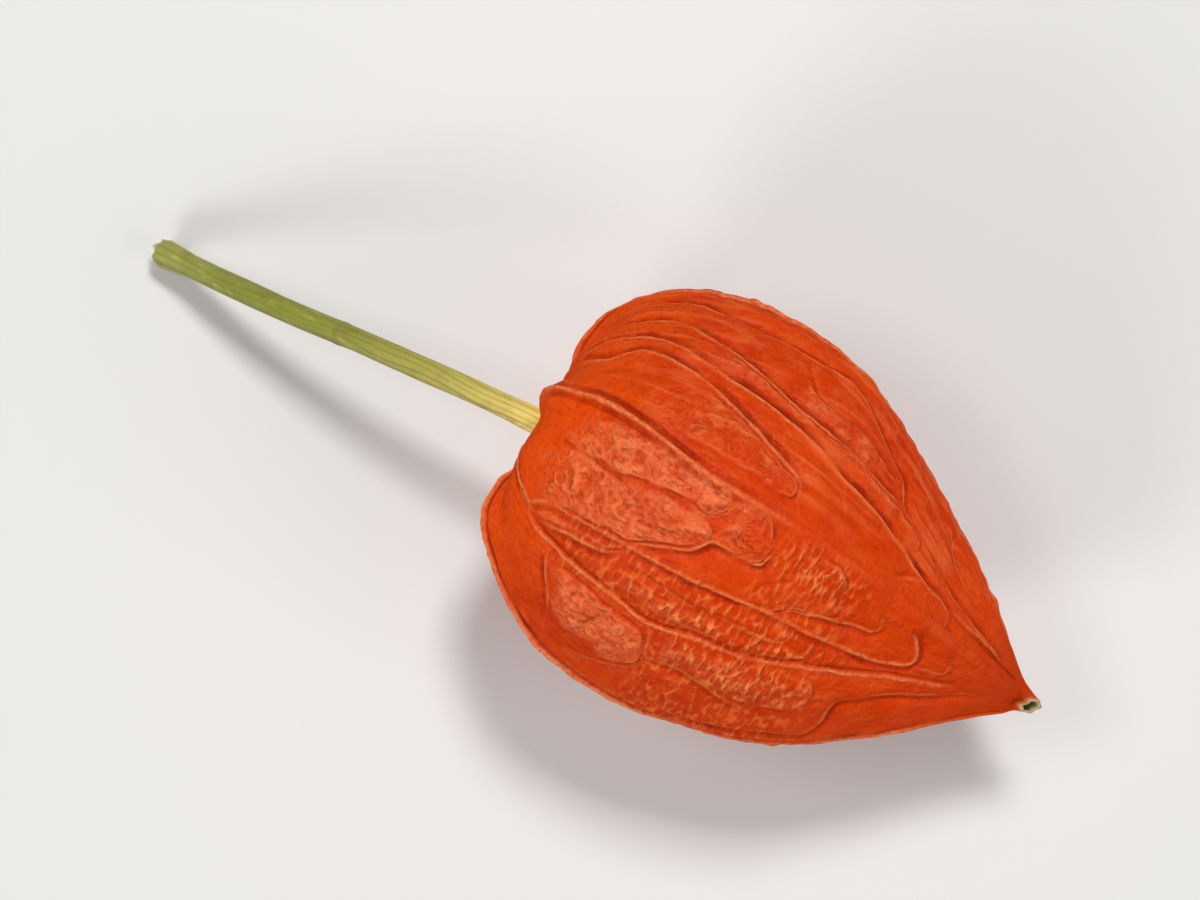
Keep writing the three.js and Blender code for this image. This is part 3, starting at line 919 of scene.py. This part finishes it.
around = np.arange(stem_turns) * 2 * math.pi / stem_turns
share_grid, around_grid = np.meshgrid(share, around, indexing="ij")
run_grid = share_grid * line_run[-1]
lumps_at = np.stack([
    run_grid / lump_length, np.cos(around_grid) * lump_width, np.sin(around_grid) * lump_width,
], axis=-1)
uneven = np.array([noise.noise(point) for point in lumps_at.reshape(-1, 3).tolist()])
uneven = uneven.reshape(run_grid.shape)
flare = 1 - smooth(0, flare_share, share_grid)
knot = np.exp(-((share_grid - knot_at) / knot_width) ** 2)
ring = np.exp(-((run_grid - ring_at) / ring_width) ** 2)
rib_turn = around_grid + math.radians(rib_twist) * share_grid + 0.6 * uneven
groove = (1 - np.abs(np.sin(stem_ribs / 2 * rib_turn))) ** 2
ray_turn = around_grid + math.radians(ridge_angles[0] + shoulder_twist)
radius = np.interp(share_grid, *zip(*stem_section)) * stem_radius
radius = radius * (1 + unevenness * uneven + ring_rise * ring + knot_rise * knot * uneven)
radius = radius - rib_depth * groove * (1 - 0.7 * knot)
radius = radius + flare_rise * flare * (np.abs(np.cos(sepals * ray_turn)) - ray_middle)
torn = 0.30 * np.abs(np.sin(2.5 * around + 0.4)) ** 3 + 0.12 * np.sin(7 * around)

stem_rows = centre[:, None] + radius[..., None] * (
    np.cos(around_grid)[..., None] * aside[:, None] + np.sin(around_grid)[..., None] * beside[:, None])
stem_rows[-1] += forward[-1] * torn[:, None]
# The cut end, ring by ring inwards: share of the last ring's radius, how deep, and how much of the tear.
cut_rings = ((0.90, 0.02, 0.5), (0.74, 0.20, 0.3), (0.50, 0.34, 0.15), (0.25, 0.38, 0.08))
cut_rows = []
for shrink, sunk, rough in cut_rings:
    row = centre[-1] + (stem_rows[-1] - centre[-1]) * shrink
    cut_rows.append(row + forward[-1] * (rough * torn - sunk)[:, None])
stem_rows = np.concatenate([stem_rows, cut_rows]) + shift
stem = closed_tube("stem_skin", stem_rows, stem_rows[0].mean(axis=0), stem_rows[-1].mean(axis=0))


def mark_stem(name, values, on_cut, first, last):
    """A mark given along the stem, with one value on its cut end."""
    rest = np.full((len(cut_rings), stem_turns), float(on_cut))
    mark(stem, name, np.vstack([values, rest]), first, last)


at_cut = np.zeros(share_grid.shape)
at_cut[-1] = 1
mark_stem("run", share_grid, on_cut=1, first=0, last=1)
mark_stem("groove", groove, on_cut=0, first=0, last=0)
mark_stem("ring", ring, on_cut=0, first=0, last=0)
mark_stem("cut", at_cut, on_cut=1, first=0, last=1)

stem_green = bpy.data.materials.new("stem_green")
stem_green.use_nodes = True
stalk = stem_green.node_tree
spot = add_node(stalk, "ShaderNodeTexCoord").outputs["Object"]
lengthwise = add_node(stalk, "ShaderNodeMapping", {
    "Vector": spot, "Rotation": (0, math.radians(-12), math.radians(-5)),
    "Scale": (0.16 / mm, 1 / mm, 1 / mm),
}).outputs[0]
streaks = add_node(stalk, "ShaderNodeTexNoise", {
    "Vector": lengthwise, "Scale": 1.6, "Detail": 3.0, "Roughness": 0.6}).outputs["Fac"]
blots = add_node(stalk, "ShaderNodeTexNoise", {
    "Vector": spot, "Scale": 0.35 / mm, "Detail": 3.0, "Roughness": 0.6}).outputs["Fac"]
run = amount(stalk, "MULTIPLY_ADD", streaks, 0.16, amount(stalk, "SUBTRACT", marked(stalk, "run"), 0.08))
greens = add_node(stalk, "ShaderNodeValToRGB", {"Fac": run})
band = greens.color_ramp
band.elements[0].color = paint(236, 120, 24)
band.elements[1].color = paint(150, 150, 72)
for place, tint in (
    (0.03, (232, 176, 62)), (0.10, (222, 200, 96)),
    (0.26, (176, 166, 70)), (0.48, (134, 138, 48)), (0.75, (126, 136, 44)),
):
    band.elements.new(place).color = paint(*tint)
colour = tinted(stalk, greens.outputs["Color"], (
    (times(stalk, marked(stalk, "groove"), 0.55), (142, 98, 26)),
    (contrast(stalk, blots, 2.2, -1.15), (104, 92, 20)),
    (contrast(stalk, streaks, 1.8, -1.0), (206, 196, 112)),
    (times(stalk, marked(stalk, "ring"), 0.35), (112, 96, 34)),
    (marked(stalk, "cut"), (214, 202, 158)),
))
relief = add_node(stalk, "ShaderNodeBump", {"Height": streaks, "Strength": 0.8, "Distance": 0.12 * mm})
gloss = amount(stalk, "MULTIPLY_ADD", blots, 0.25, 0.40)
dress(stem, stem_green, {"Base Color": colour, "Roughness": gloss, "Normal": relief.outputs[0]}, {
    "Subsurface Weight": 0.08, "Subsurface Radius": (0.6, 0.7, 0.2), "Subsurface Scale": mm,
})

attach(stem, "root")
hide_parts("stem")
